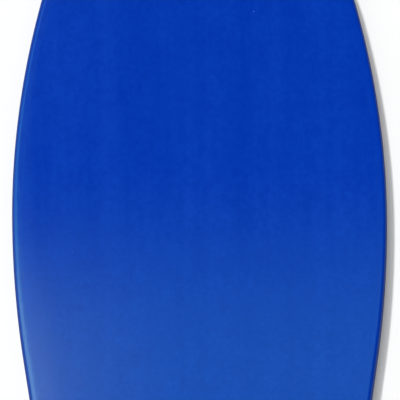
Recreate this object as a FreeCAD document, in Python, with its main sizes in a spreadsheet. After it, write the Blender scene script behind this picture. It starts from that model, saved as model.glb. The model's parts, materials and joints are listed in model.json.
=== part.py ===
import FreeCAD, Part
import math
import os
import Sketcher

# A bodyboard: a foam core with a hollow stringer, faced with a deck skin, rail skins,
# two bumpers and a slick bottom, and pierced near the nose by a two-part leash plug.
# +Y points to the nose, +X to the rider's right, +Z up through the deck. The origin is
# the middle of the board's length and width, on the flat of the bottom.

SIZES = {
    # plan outline
    "board_length": 1040.0,
    "board_width": 560.0,
    "wide_point_from_nose": 480.0,
    "shoulder_radius": 1160.0,
    "shoulder_turn": 16.6,
    "nose_side_turn": 31.4,
    "nose_corner_turn": 32.0,
    "nose_corner_radius": 42.0,
    "tail_side_radius": 1450.0,
    "tail_side_turn": 8.45,
    "tail_corner_radius": 28.0,
    "crescent_depth": 22.0,
    # side profile
    "board_thickness": 52.0,
    "rocker_length": 380.0,
    "nose_rocker": 32.0,
    "deck_nose_rise": 18.0,
    # rail section
    "chine_width": 4.0,
    "chine_drop": 5.5,
    "bevel_width": 6.0,
    "bevel_rise": 18.0,
    "deck_edge_ease": 3.5,
    # skins
    "deck_skin_thickness": 4.0,
    "rail_skin_thickness": 5.0,
    "slick_film_thickness": 0.8,
    "slick_backing_thickness": 2.0,
    "deck_seam_inset": 15.0,
    "slick_seam_inset": 13.0,
    "rail_seam_below_chine": 16.5,
    "nose_bumper_length": 62.0,
    "tail_bumper_length": 46.0,
    # tail channels
    "channel_radius": 80.0,
    "channel_depth": 7.0,
    "channel_length": 250.0,
    "channel_spacing": 210.0,
    # stringer
    "stringer_diameter": 12.0,
    "stringer_wall": 1.5,
    "stringer_height": 26.0,
    "stringer_from_nose": 140.0,
    "stringer_from_tail": 50.0,
    "bung_head": 5.0,
    "bung_stem": 12.0,
    "bung_fit": 0.1,
    # leash plug
    "plug_from_nose": 105.0,
    "plug_tilt": 5.4,
    "plug_flange_diameter": 40.0,
    "plug_flange_thickness": 2.6,
    "plug_flange_proud": 0.8,
    "plug_flange_bevel": 0.8,
    "plug_barrel_diameter": 22.0,
    "plug_stem_diameter": 18.0,
    "plug_bore_diameter": 10.0,
    "plug_thread_clearance": 0.15,
    "plug_gap": 3.0,
}

doc = FreeCAD.newDocument("bodyboard")
sheet = doc.addObject("Spreadsheet::Sheet", "sizes")
for row, (alias, value) in enumerate(SIZES.items(), start=1):
    sheet.set(f"A{row}", alias)
    sheet.set(f"B{row}", str(value))
    sheet.setAlias(f"B{row}", alias)
doc.recompute()


def size(alias):
    return float(getattr(sheet, alias))


# ---- helpers -----------------------------------------------------------------------

START, END, CENTRE = range(1, 4)
AXIS_X, AXIS_Y = range(-1, -3, -1)
ORIGIN = (AXIS_X, START)
OVERHANG = "sizes.board_thickness"
SIDE_VIEW = FreeCAD.Rotation(FreeCAD.Vector(1, 1, 1), 120)


def bind(item, bindings):
    for name, expression in bindings.items():
        item.setExpression(name, expression)


def constrain(sketch, name, expression, *constraint):
    """Add a named dimension to a sketch and tie it to the sheet."""
    index = sketch.addConstraint(Sketcher.Constraint(*constraint))
    sketch.renameConstraint(index, name)
    sketch.setExpression("Constraints." + name, expression)


def join(sketch, kind, *items):
    sketch.addConstraint(Sketcher.Constraint(kind, *items))


def polar(centre, radius, degrees):
    angle = math.radians(degrees)
    return centre + radius * FreeCAD.Vector(math.cos(angle), math.sin(angle), 0)


def add_arc(sketch, centre, radius, start, end):
    circle = Part.Circle(centre, FreeCAD.Vector(0, 0, 1), radius)
    return sketch.addGeometry(Part.ArcOfCircle(circle, math.radians(start), math.radians(end)))


def combine(kind, name, *items):
    """A boolean of document objects: MultiCommon, MultiFuse, or Cut of the first by the rest."""
    result = doc.addObject("Part::" + kind, name)
    if kind == "Cut":
        result.Base = items[0]
        result.Tool = items[1] if len(items) == 2 else combine("MultiFuse", name + "_tools", *items[1:])
    else:
        result.Shapes = list(items)
    return result


def cylinder(name, radius, length, degrees, placement):
    """A cylinder tipped about X by some degrees and sized and placed by expressions."""
    rod = doc.addObject("Part::Cylinder", name)
    tip = FreeCAD.Rotation(FreeCAD.Vector(1, 0, 0), degrees)
    rod.Placement = FreeCAD.Placement(FreeCAD.Vector(), tip)
    bind(rod, {"Radius": radius, "Height": length, **placement})
    return rod


# ---- the board's own outline, seen from above --------------------------------------


def outline_segments():
    """The right half of the plan outline, nose to tail: (kind, centre, radius, from, to).

    Every join is tangent. The nose side and nose front take up what the given turns and
    radii leave, and so does the crescent at the tail.
    """
    half = size("board_width") / 2
    ahead = size("wide_point_from_nose")
    behind = size("board_length") - ahead
    middle = size("board_length") / 2 - ahead
    first = size("shoulder_turn")
    second = first + size("nose_side_turn")
    third = second + size("nose_corner_turn")
    shoulder, corner = size("shoulder_radius"), size("nose_corner_radius")

    def cos(degrees):
        return math.cos(math.radians(degrees))

    def sin(degrees):
        return math.sin(math.radians(degrees))

    across = half - shoulder * (1 - cos(first)) - corner * (cos(second) - cos(third))
    along = ahead - shoulder * sin(first) - corner * (sin(third) - sin(second))
    a, b = cos(first) - cos(second), cos(third)
    c, d = sin(second) - sin(first), 1 - sin(third)
    side = (across * d - b * along) / (a * d - b * c)
    front = (a * along - c * across) / (a * d - b * c)

    segments = []
    centre = FreeCAD.Vector(half - shoulder, middle, 0)
    segments.append(("shoulder", centre, shoulder, 0, first))
    centre = polar(centre, shoulder - side, first)
    segments.append(("nose_side", centre, side, first, second))
    centre = polar(centre, side - corner, second)
    segments.append(("nose_corner", centre, corner, second, third))
    centre = polar(centre, corner - front, third)
    segments.append(("nose_front", centre, front, third, 180 - third))
    segments.reverse()

    turn, rail, tip = size("tail_side_turn"), size("tail_side_radius"), size("tail_corner_radius")
    straight = (behind - rail * sin(turn) - tip * (1 - sin(turn))) / cos(turn)
    tip_x = half - rail * (1 - cos(turn)) - straight * sin(turn) - tip * cos(turn)
    hook = math.degrees(2 * math.atan(size("crescent_depth") / tip_x))
    crescent = tip_x / sin(hook) - tip
    centre = FreeCAD.Vector(half - rail, middle, 0)
    segments.append(("tail_side", centre, rail, -turn, 0))
    centre = FreeCAD.Vector(tip_x, tip - size("board_length") / 2, 0)
    segments.append(("tail_corner", centre, tip, -90 - hook, -turn))
    centre = polar(centre, tip + crescent, -90 - hook)
    segments.append(("crescent", centre, crescent, 90 - hook, 90 + hook))
    return segments


def outline_sketch(name, inset):
    """The closed plan outline, moved inwards by a named inset; None is the board's own edge."""
    sketch = doc.addObject("Sketcher::SketchObject", name)
    moved = size(inset) if inset else 0.0
    less = f" - sizes.{inset}" if inset else ""
    right, left = {}, {}
    for kind, centre, radius, start, end in outline_segments():
        own = radius + moved if kind == "crescent" else radius - moved
        right[kind] = left[kind] = add_arc(sketch, centre, own, start, end)
        if kind not in ("nose_front", "crescent"):
            mirrored = FreeCAD.Vector(-centre.x, centre.y, 0)
            left[kind] = add_arc(sketch, mirrored, own, 180 - end, 180 - start)
    arcs = {kind: sketch.Geometry[index] for kind, index in right.items()}
    upper, lower = arcs["tail_side"].StartPoint, arcs["tail_corner"].EndPoint
    for sign, side in ((1, right), (-1, left)):
        ends = [FreeCAD.Vector(sign * point.x, point.y, 0) for point in (upper, lower)]
        side["tail_taper"] = sketch.addGeometry(Part.LineSegment(*ends))

    order = ("nose_front", "nose_corner", "nose_side", "shoulder",
             "tail_side", "tail_taper", "tail_corner", "crescent")
    leaves = {"tail_taper": (END, END)}
    meets = {"tail_taper": (START, START), "crescent": (START, END)}
    for before, after in zip(order, order[1:]):
        leave_right, leave_left = leaves.get(before, (START, END))
        meet_right, meet_left = meets.get(after, (END, START))
        join(sketch, "Tangent", right[before], leave_right, right[after], meet_right)
        join(sketch, "Coincident", left[before], leave_left, left[after], meet_left)
        if before == "nose_front":
            join(sketch, "Symmetric", right[after], meet_right, left[after], meet_left, AXIS_Y)
        else:
            join(sketch, "Symmetric", right[before], leave_right, left[before], leave_left, AXIS_Y)
    for kind in ("nose_corner", "nose_side", "shoulder", "tail_side", "tail_corner"):
        join(sketch, "Equal", right[kind], left[kind])
    for kind in ("shoulder", "nose_corner", "tail_side", "tail_corner"):
        radius = f"{kind}_radius"
        constrain(sketch, radius, f"sizes.{radius}" + less, "Radius", right[kind], arcs[kind].Radius)
    for kind in ("shoulder", "nose_side", "nose_corner", "tail_side"):
        turn = f"{kind}_turn"
        constrain(sketch, turn, f"sizes.{turn} * 1 deg", "Angle", right[kind], math.radians(size(turn)))

    half_length = size("board_length") / 2 - moved
    wide = right["shoulder"]
    join(sketch, "Horizontal", wide, START, wide, CENTRE)
    constrain(sketch, "half_width", "sizes.board_width / 2" + less,
              "DistanceX", *ORIGIN, wide, START, size("board_width") / 2 - moved)
    constrain(sketch, "wide_point", "sizes.board_length / 2 - sizes.wide_point_from_nose",
              "DistanceY", *ORIGIN, wide, START, arcs["shoulder"].Center.y)
    tip = sketch.addGeometry(Part.Point(FreeCAD.Vector(0, half_length, 0)), True)
    join(sketch, "PointOnObject", tip, START, right["nose_front"])
    join(sketch, "PointOnObject", tip, START, AXIS_Y)
    constrain(sketch, "nose_tip", "sizes.board_length / 2" + less,
              "DistanceY", *ORIGIN, tip, START, half_length)
    corner = FreeCAD.Vector(arcs["tail_corner"].Center.x, -half_length, 0)
    tail_tip = sketch.addGeometry(Part.Point(corner), True)
    join(sketch, "PointOnObject", tail_tip, START, right["tail_corner"])
    join(sketch, "Vertical", tail_tip, START, right["tail_corner"], CENTRE)
    constrain(sketch, "tail_tip", "sizes.board_length / 2" + less,
              "DistanceY", tail_tip, START, *ORIGIN, half_length)
    hollow = half_length - size("crescent_depth")
    middle = sketch.addGeometry(Part.Point(FreeCAD.Vector(0, -hollow, 0)), True)
    join(sketch, "PointOnObject", middle, START, right["crescent"])
    join(sketch, "PointOnObject", middle, START, AXIS_Y)
    constrain(sketch, "crescent_middle", "sizes.board_length / 2 - sizes.crescent_depth" + less,
              "DistanceY", middle, START, *ORIGIN, hollow)
    return sketch


def prism(name, inset):
    """Everything inside the inset outline, taller than the board."""
    solid = doc.addObject("Part::Extrusion", name)
    solid.Base = outline_sketch(name + "_outline", inset)
    solid.DirMode = "Normal"
    solid.Solid = True
    bind(solid, {"LengthFwd": "2 * sizes.board_thickness + sizes.nose_rocker",
                 "LengthRev": "sizes.board_thickness"})
    return solid


# ---- the board's own profile, seen from the side -----------------------------------

ROCKER_RADIUS = "(sizes.rocker_length^2 + sizes.nose_rocker^2) / (2 * sizes.nose_rocker)"
DECK_NOSE_RADIUS = "(sizes.rocker_length^2 + sizes.deck_nose_rise^2) / (2 * sizes.deck_nose_rise)"


def bend_radius(length, rise):
    return (length ** 2 + rise ** 2) / (2 * rise)


def slab(name, raised="0", lowered="0"):
    """All between the bottom, raised by one depth, and the deck, lowered by another.

    Both are flat from the tail to one line across the board, and bend up from there to the
    nose. Both run on past the board's ends.
    """
    sketch = doc.addObject("Sketcher::SketchObject", name + "_profile")
    sketch.Placement = FreeCAD.Placement(FreeCAD.Vector(), SIDE_VIEW)
    reach = size("board_length") / 2 + size("board_thickness")
    bend = size("board_length") / 2 - size("rocker_length")
    thick = size("board_thickness")
    bottom_radius = bend_radius(size("rocker_length"), size("nose_rocker"))
    deck_radius = bend_radius(size("rocker_length"), size("deck_nose_rise"))

    def line(start, end):
        return sketch.addGeometry(Part.LineSegment(FreeCAD.Vector(*start), FreeCAD.Vector(*end)))

    def nose_bend(height, radius):
        sweep = math.degrees(math.asin((reach - bend) / radius))
        return add_arc(sketch, FreeCAD.Vector(bend, height + radius, 0), radius, 270, 270 + sweep)

    bottom_nose, deck_nose = nose_bend(0, bottom_radius), nose_bend(thick, deck_radius)
    low, high = (sketch.Geometry[bent].EndPoint for bent in (bottom_nose, deck_nose))
    bottom = line((-reach, 0), (bend, 0))
    front = line(low, high)
    deck = line((bend, thick), (-reach, thick))
    back = line((-reach, thick), (-reach, 0))

    join(sketch, "Tangent", bottom, END, bottom_nose, START)
    join(sketch, "Coincident", bottom_nose, END, front, START)
    join(sketch, "Coincident", front, END, deck_nose, END)
    join(sketch, "Tangent", deck_nose, START, deck, START)
    join(sketch, "Coincident", deck, END, back, START)
    join(sketch, "Coincident", back, END, bottom, START)
    join(sketch, "Vertical", front)
    join(sketch, "Vertical", back)
    join(sketch, "Vertical", bottom, END, deck, START)
    join(sketch, "Horizontal", deck)
    join(sketch, "PointOnObject", bottom, START, AXIS_X)
    join(sketch, "PointOnObject", bottom, END, AXIS_X)
    constrain(sketch, "bottom_radius", ROCKER_RADIUS, "Radius", bottom_nose, bottom_radius)
    constrain(sketch, "deck_radius", DECK_NOSE_RADIUS, "Radius", deck_nose, deck_radius)
    constrain(sketch, "thickness", f"sizes.board_thickness - ({raised}) - ({lowered})",
              "DistanceY", *ORIGIN, deck, START, thick)
    constrain(sketch, "bend", "sizes.board_length / 2 - sizes.rocker_length",
              "DistanceX", *ORIGIN, bottom, END, bend)
    for end, side in (("front_end", (*ORIGIN, front, START)), ("back_end", (back, END, *ORIGIN))):
        constrain(sketch, end, "sizes.board_length / 2 + " + OVERHANG, "DistanceX", *side, reach)

    solid = doc.addObject("Part::Extrusion", name)
    solid.Base = sketch
    solid.DirMode = "Normal"
    solid.Solid = True
    solid.Symmetric = True
    bind(solid, {"LengthFwd": "2 * sizes.board_width", "Placement.Base.z": raised})
    return solid


# ---- shaped rails: a chine above the side wall and a bevel below it ----------------

FACE_KINDS = ((0.8, "deck"), (0.1, "chine"), (-0.1, "wall"), (-0.8, "bevel"), (-1.1, "bottom"))


def face_kind(face, point):
    """What a face of the board's form is, by how far it faces up."""
    upward = face.normalAt(*face.Surface.parameter(point)).z
    return next(kind for limit, kind in FACE_KINDS if upward > limit)


def edges_between(shape, *kinds):
    """Names of the edges where faces of these two kinds meet."""
    names = []
    for number, edge in enumerate(shape.Edges, start=1):
        middle = edge.valueAt(sum(edge.ParameterRange) / 2)
        found = [face_kind(face, middle) for face in shape.ancestorsOfType(edge, Part.Face)]
        if sorted(found) == sorted(kinds):
            names.append(f"Edge{number}")
    if not names:
        raise RuntimeError("no edge between " + " and ".join(kinds))
    return names


def dress(body, kind, base, edges, bindings):
    feature = body.newObject("PartDesign::" + kind, f"{body.Name}_{kind.lower()}")
    feature.Base = (base, edges)
    if "Size2" in bindings:
        feature.ChamferType = "Two distances"
    bind(feature, bindings)
    body.Tip = feature
    doc.recompute()
    return feature


def railed_body(name, blank, chine, bevel):
    """A body that starts from a straight-sided blank and cuts the chine and the bevel."""
    body = doc.addObject("PartDesign::Body", name)
    body.BaseFeature = blank
    doc.recompute()
    base = body.Group[0]
    top = edges_between(base.Shape, "deck", "wall")
    upper = dress(body, "Chamfer", base, top, chine)
    under = edges_between(upper.Shape, "bottom", "wall")
    dress(body, "Chamfer", upper, under, bevel)
    return body


board_slab = slab("board_slab")
blank = combine("MultiCommon", "blank", prism("board_prism", None), board_slab)
board_form = railed_body(
    "board_form", blank,
    {"Size": "sizes.chine_drop", "Size2": "sizes.chine_width"},
    {"Size": "sizes.bevel_rise", "Size2": "sizes.bevel_width"})
deck_edges = edges_between(board_form.Shape, "chine", "deck")
dress(board_form, "Chamfer", board_form.Tip, deck_edges, {"Size": "sizes.deck_edge_ease"})

# The core's chine and bevel lie one rail skin inside the board's own.


def inner_width(width, drop, facing):
    """The plan width of a slanted face moved in by the rail skin, under a facing layer."""
    slant = f"sqrt({width}^2 + {drop}^2)"
    return f"({width} * (1 - ({facing}) / {drop}) + sizes.rail_skin_thickness * ({slant} / {drop} - 1))"


SLICK = "sizes.slick_film_thickness + sizes.slick_backing_thickness"
CORE_CHINE = inner_width("sizes.chine_width", "sizes.chine_drop", "sizes.deck_skin_thickness")
CORE_BEVEL = inner_width("sizes.bevel_width", "sizes.bevel_rise", SLICK)
core_blank = combine("MultiCommon", "core_blank", prism("core_prism", "rail_skin_thickness"),
                     slab("core_slab", SLICK, "sizes.deck_skin_thickness"))
core_form = railed_body(
    "core_form", core_blank,
    {"Size": f"{CORE_CHINE} * sizes.chine_drop / sizes.chine_width", "Size2": CORE_CHINE},
    {"Size": f"{CORE_BEVEL} * sizes.bevel_rise / sizes.bevel_width", "Size2": CORE_BEVEL})


# ---- tail channels: a film, a backing and a core that all dip the same way ---------

FILM = "sizes.slick_film_thickness"


def channels(name, grown="0"):
    """Two slanted rods that press the tail channels into the bottom, grown by a layer."""
    rods = []
    for side, sign in (("left", "-"), ("right", "")):
        rods.append(cylinder(
            f"{name}_{side}", f"sizes.channel_radius + {grown}",
            "sizes.channel_length + sizes.board_thickness",
            90,
            {"Placement.Base.x": f"{sign}sizes.channel_spacing / 2",
             "Placement.Base.y": "sizes.channel_length - sizes.board_length / 2",
             "Placement.Base.z": "-sizes.channel_radius",
             "Placement.Rotation.Angle": "90 deg - atan(sizes.channel_depth / sizes.channel_length)"}))
    return combine("MultiFuse", name, *rods)


film_channels = channels("film_channels")
backing_channels = channels("backing_channels", FILM)
core_channels = channels("core_channels", SLICK)
above_film = combine("Cut", "above_film", slab("film_slab", FILM), backing_channels)
above_backing = combine("Cut", "above_backing", slab("backing_slab", SLICK), core_channels)
under_skin = slab("skin_slab", "0", "sizes.deck_skin_thickness")


# ---- leash plug: two threaded halves that clamp the board --------------------------

PLUG_RUN = "(sizes.rocker_length - sizes.plug_from_nose)"


def surface_height(radius):
    """How far a bend of this radius has risen where the plug stands."""
    return f"({radius} - sqrt(({radius})^2 - {PLUG_RUN}^2))"


PLUG_BASE = surface_height(ROCKER_RADIUS)
PLUG_DEPTH = (f"((sizes.board_thickness + {surface_height(DECK_NOSE_RADIUS)} - {PLUG_BASE})"
              " * cos(sizes.plug_tilt * 1 deg))")
BARREL_END = "sizes.plug_flange_thickness - sizes.plug_flange_proud + sizes.plug_gap"
PLUG_PLACE = {"Placement.Base.y": "sizes.board_length / 2 - sizes.plug_from_nose",
              "Placement.Base.z": PLUG_BASE,
              "Placement.Rotation.Angle": "sizes.plug_tilt * 1 deg"}
FLANGE_RADIUS = "sizes.plug_flange_diameter / 2"
BARREL_RADIUS = "sizes.plug_barrel_diameter / 2"
SOCKET_RADIUS = "sizes.plug_stem_diameter / 2 + sizes.plug_thread_clearance"
STEM_RADIUS = "sizes.plug_stem_diameter / 2"
LEASH_RADIUS = "sizes.plug_bore_diameter / 2"
BOTTOM_OUTER = "-sizes.plug_flange_proud"
BOTTOM_INNER = "sizes.plug_flange_thickness - sizes.plug_flange_proud"
DECK_OUTER = f"{PLUG_DEPTH} + sizes.plug_flange_proud"
DECK_INNER = f"{PLUG_DEPTH} + sizes.plug_flange_proud - sizes.plug_flange_thickness"


def turned(name, corners, degrees, placement):
    """A body revolved about its own Z from a section whose corners are (radius, height).

    The section is first drawn as a rough ring, which its dimensions pull into shape. The body
    is tipped about X by some degrees and placed by expressions.
    """
    body = doc.addObject("PartDesign::Body", name)
    sketch = body.newObject("Sketcher::SketchObject", name + "_section")
    rough = size("plug_flange_diameter")
    plane = next(item for item in body.Origin.OriginFeatures if item.Role == "XZ_Plane")
    sketch.AttachmentSupport = [(plane, "")]
    sketch.MapMode = "FlatFace"
    points = [polar(FreeCAD.Vector(2 * rough, 0, 0), rough, 360 * index / len(corners))
              for index in range(len(corners))]
    for start, end in zip(points, points[1:] + points[:1]):
        sketch.addGeometry(Part.LineSegment(start, end))
    for index, (across, along) in enumerate(corners):
        join(sketch, "Coincident", (index - 1) % len(corners), END, index, START)
        for word, direction, axis, expression in (("across", "DistanceX", AXIS_Y, across),
                                                  ("along", "DistanceY", AXIS_X, along)):
            if expression == "0":
                join(sketch, "PointOnObject", index, START, axis)
            else:
                constrain(sketch, f"{word}_{index}", expression,
                          direction, *ORIGIN, index, START, rough)
    turn = body.newObject("PartDesign::Revolution", name + "_turned")
    turn.Profile = sketch
    turn.ReferenceAxis = (sketch, ["V_Axis"])
    turn.Angle = 360
    tip = FreeCAD.Rotation(FreeCAD.Vector(1, 0, 0), degrees)
    body.Placement = FreeCAD.Placement(FreeCAD.Vector(), tip)
    bind(body, placement)
    return body


leash_plug_deck_half = turned("leash_plug_deck_half", (
    (LEASH_RADIUS, DECK_OUTER),
    (f"{FLANGE_RADIUS} - sizes.plug_flange_bevel", DECK_OUTER),
    (FLANGE_RADIUS, f"{DECK_OUTER} - sizes.plug_flange_bevel"),
    (FLANGE_RADIUS, DECK_INNER),
    (BARREL_RADIUS, DECK_INNER),
    (BARREL_RADIUS, BARREL_END),
    (SOCKET_RADIUS, BARREL_END),
    (SOCKET_RADIUS, DECK_INNER),
    (LEASH_RADIUS, DECK_INNER)), size("plug_tilt"), PLUG_PLACE)
leash_plug_bottom_half = turned("leash_plug_bottom_half", (
    (LEASH_RADIUS, BOTTOM_OUTER),
    (f"{FLANGE_RADIUS} - sizes.plug_flange_bevel", BOTTOM_OUTER),
    (FLANGE_RADIUS, f"{BOTTOM_OUTER} + sizes.plug_flange_bevel"),
    (FLANGE_RADIUS, BOTTOM_INNER),
    (STEM_RADIUS, BOTTOM_INNER),
    (STEM_RADIUS, DECK_INNER),
    (LEASH_RADIUS, DECK_INNER)), size("plug_tilt"), PLUG_PLACE)
plug_pocket = turned("plug_pocket", (
    ("0", "-sizes.board_thickness"),
    (FLANGE_RADIUS, "-sizes.board_thickness"),
    (FLANGE_RADIUS, BOTTOM_INNER),
    (BARREL_RADIUS, BOTTOM_INNER),
    (BARREL_RADIUS, DECK_INNER),
    (FLANGE_RADIUS, DECK_INNER),
    (FLANGE_RADIUS, "2 * sizes.board_thickness"),
    ("0", "2 * sizes.board_thickness")), size("plug_tilt"), PLUG_PLACE)


# ---- stringer: a hollow rod, closed at both ends, in a bore drilled from the tail --

ROD_RADIUS = "sizes.stringer_diameter / 2"
TUBE_BORE = f"{ROD_RADIUS} - sizes.stringer_wall"
ROD_LENGTH = "sizes.board_length - sizes.stringer_from_nose - sizes.stringer_from_tail"
FRONT_END = "sizes.board_length / 2 - sizes.stringer_from_nose"
REAR_END = "sizes.stringer_from_tail - sizes.board_length / 2"
BEHIND_TAIL = f"-sizes.board_length / 2 - {OVERHANG}"
FORWARD, BACKWARD = -90, 90

stringer_tube = turned("stringer_tube", (
    (TUBE_BORE, "0"),
    (ROD_RADIUS, "0"),
    (ROD_RADIUS, ROD_LENGTH),
    (TUBE_BORE, ROD_LENGTH)), FORWARD,
    {"Placement.Base.y": REAR_END, "Placement.Base.z": "sizes.stringer_height"})


def bung(name, degrees, end):
    """A bung whose stem pushes into the tube and whose head covers the tube's end."""
    stem = f"{TUBE_BORE} - sizes.bung_fit"
    return turned(name, (
        ("0", "-sizes.bung_stem"),
        (stem, "-sizes.bung_stem"),
        (stem, "0"),
        (ROD_RADIUS, "0"),
        (ROD_RADIUS, "sizes.bung_head"),
        ("0", "sizes.bung_head")), degrees,
        {"Placement.Base.y": end, "Placement.Base.z": "sizes.stringer_height"})


stringer_bung_front = bung("stringer_bung_front", FORWARD, FRONT_END)
stringer_bung_rear = bung("stringer_bung_rear", BACKWARD, REAR_END)
AT_TAIL = {"Placement.Base.y": BEHIND_TAIL, "Placement.Base.z": "sizes.stringer_height"}
stringer_bore = cylinder("stringer_bore", ROD_RADIUS,
                         f"{FRONT_END} + sizes.bung_head - ({BEHIND_TAIL})", FORWARD, AT_TAIL)
bore_mouth = cylinder("bore_mouth", ROD_RADIUS,
                      f"{REAR_END} - sizes.bung_head - ({BEHIND_TAIL})", FORWARD, AT_TAIL)


# ---- the foam core and the skins that face it --------------------------------------

foam_core = combine("Cut", "foam_core", core_form, core_channels, stringer_bore, plug_pocket)
core_bore_plug = combine("MultiCommon", "core_bore_plug", core_form, bore_mouth)

deck_prism = prism("deck_prism", "deck_seam_inset")
slick_prism = prism("slick_prism", "slick_seam_inset")
deck_panel = combine("Cut", "deck_panel",
                     combine("MultiCommon", "deck_stock", deck_prism, board_slab), under_skin)
slick_stock = combine("MultiCommon", "slick_stock", slick_prism, board_slab)
backing_stock = combine("MultiCommon", "backing_stock", slick_prism, above_film)
slick_panel = combine("Cut", "slick_panel", slick_stock, above_backing)
deck_skin = combine("Cut", "deck_skin", deck_panel, plug_pocket)
slick_film = combine("Cut", "slick_film", slick_stock, film_channels, above_film, plug_pocket)
slick_backing = combine("Cut", "slick_backing", backing_stock, above_backing, plug_pocket)


# ---- rails and bumpers: the ring left round the core, cut at its seams -------------

rail_ring = combine("Cut", "rail_ring", board_form, core_form, deck_panel, slick_panel, film_channels)


def zone(name, width, length, corner_x, corner_y):
    """A box that takes one stretch of the ring."""
    box = doc.addObject("Part::Box", name)
    bind(box, {"Length": width, "Width": length,
               "Height": "3 * sizes.board_thickness + sizes.nose_rocker",
               "Placement.Base.x": corner_x, "Placement.Base.y": corner_y,
               "Placement.Base.z": "-sizes.board_thickness"})
    return box


nose_bumper = combine("MultiCommon", "nose_bumper", rail_ring, zone(
    "nose_zone", "2 * sizes.board_width", f"sizes.nose_bumper_length + {OVERHANG}",
    "-sizes.board_width", "sizes.board_length / 2 - sizes.nose_bumper_length"))
tail_bumper = combine("MultiCommon", "tail_bumper", rail_ring, zone(
    "tail_zone", "2 * sizes.board_width", f"sizes.tail_bumper_length + {OVERHANG}",
    "-sizes.board_width", BEHIND_TAIL))
under_seam = slab("seam_slab", "0", "sizes.chine_drop + sizes.rail_seam_below_chine")
rails = []
for hand, corner in (("left", "-sizes.board_width"), ("right", "0 * sizes.board_width")):
    stretch = zone(f"{hand}_zone", "sizes.board_width",
                   "sizes.board_length - sizes.nose_bumper_length - sizes.tail_bumper_length",
                   corner, "sizes.tail_bumper_length - sizes.board_length / 2")
    strip = combine("MultiCommon", f"{hand}_strip", rail_ring, stretch)
    rails.append(combine("Cut", f"upper_rail_{hand}", strip, under_seam))
    rails.append(combine("MultiCommon", f"lower_rail_{hand}", strip, under_seam))


# ---- check and write ---------------------------------------------------------------

pieces = [foam_core, core_bore_plug, stringer_tube, stringer_bung_front, stringer_bung_rear,
          deck_skin, slick_backing, slick_film, nose_bumper, tail_bumper, *rails,
          leash_plug_deck_half, leash_plug_bottom_half]
doc.recompute()
for item in doc.Objects:
    if {"Invalid", "Error"} & set(item.State):
        raise RuntimeError(f"{item.Name} did not build: {item.State}")
for piece in pieces:
    if piece.Shape.isNull() or not piece.Shape.isValid():
        raise RuntimeError(f"{piece.Name} has no valid shape")

os.makedirs("parts", exist_ok=True)
for piece in pieces:
    piece.Label = piece.Name
    piece.Shape.exportStep(f"parts/{piece.Label}.step")
    print(f"{piece.Label}: {len(piece.Shape.Solids)} solid, {piece.Shape.Volume:.0f} mm3")
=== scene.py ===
# Bodyboard: a foam core with a rod inside, a slick bottom, a soft deck, foam rails and bumpers, and a
# leash plug. The sections follow the order in which such a board is put together.
import json
import math
import bmesh
import bpy
from mathutils import Matrix, Vector
from mathutils.kdtree import KDTree


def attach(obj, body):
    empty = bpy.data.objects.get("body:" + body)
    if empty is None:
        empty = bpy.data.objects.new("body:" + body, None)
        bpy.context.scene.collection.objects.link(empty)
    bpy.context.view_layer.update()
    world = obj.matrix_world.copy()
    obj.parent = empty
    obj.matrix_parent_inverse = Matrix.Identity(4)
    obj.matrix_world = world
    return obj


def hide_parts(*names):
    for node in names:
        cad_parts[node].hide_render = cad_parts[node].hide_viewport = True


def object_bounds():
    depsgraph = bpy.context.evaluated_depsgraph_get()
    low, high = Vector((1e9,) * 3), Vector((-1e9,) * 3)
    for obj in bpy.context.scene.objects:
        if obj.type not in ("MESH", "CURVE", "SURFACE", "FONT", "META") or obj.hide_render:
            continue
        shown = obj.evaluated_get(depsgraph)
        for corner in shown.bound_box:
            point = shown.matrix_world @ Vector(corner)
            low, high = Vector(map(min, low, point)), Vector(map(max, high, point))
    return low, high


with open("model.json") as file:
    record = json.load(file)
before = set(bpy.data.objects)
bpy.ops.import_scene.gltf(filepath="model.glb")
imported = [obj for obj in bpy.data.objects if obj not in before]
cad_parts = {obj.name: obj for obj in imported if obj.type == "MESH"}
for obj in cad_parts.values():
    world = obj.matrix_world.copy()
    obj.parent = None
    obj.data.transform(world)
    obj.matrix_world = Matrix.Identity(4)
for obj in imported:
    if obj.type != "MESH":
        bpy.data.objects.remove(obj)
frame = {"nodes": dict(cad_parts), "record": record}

cad_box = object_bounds()

# ---- Foam core and its plug ----------------------------------------------------------
# The core is a slab of extruded polyethylene foam, cut with a hot wire and sanded to the board's
# shape. A short length of the same foam closes the bore that the rod goes in by. Both end up under
# the skins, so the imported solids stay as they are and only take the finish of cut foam.
CORE_CELL = 1.1  # mm across one foam cell
CORE_WALL = 0.12  # the share of a cell that its wall takes up
CORE_PIT = 0.2  # mm deep
CORE_WHITE = "#E8E7E1"
CORE_CELL_WALL = "#F7F6F2"
CORE_SANDING = 26  # mm between the soft marks that sanding leaves


def linear(hex_colour):
    """An sRGB hex colour as linear red, green, blue and alpha."""
    parts = [int(hex_colour[at:at + 2], 16) / 255 for at in (1, 3, 5)]
    return (*(p / 12.92 if p <= 0.04045 else ((p + 0.055) / 1.055) ** 2.4 for p in parts), 1)


def add(tree, kind, inputs=None, **settings):
    """Add one node with its settings, and give its inputs values or links by name or place."""
    made = tree.nodes.new(kind)
    for setting, value in settings.items():
        setattr(made, setting, value)
    for place, value in (inputs or {}).items():
        if isinstance(value, bpy.types.NodeSocket):
            tree.links.new(value, made.inputs[place])
        else:
            made.inputs[place].default_value = value
    return made


def start_finish(name):
    """A new material with an empty node tree, and its object coordinates in metres."""
    finish = bpy.data.materials.new(name)
    finish.use_nodes = True
    finish.node_tree.nodes.clear()
    return finish, finish.node_tree, add(finish.node_tree, "ShaderNodeTexCoord").outputs["Object"]


def refinish(finish, *nodes):
    """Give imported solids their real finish."""
    for node in nodes:
        for slot in frame["nodes"][node].material_slots:
            slot.material = finish


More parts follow.
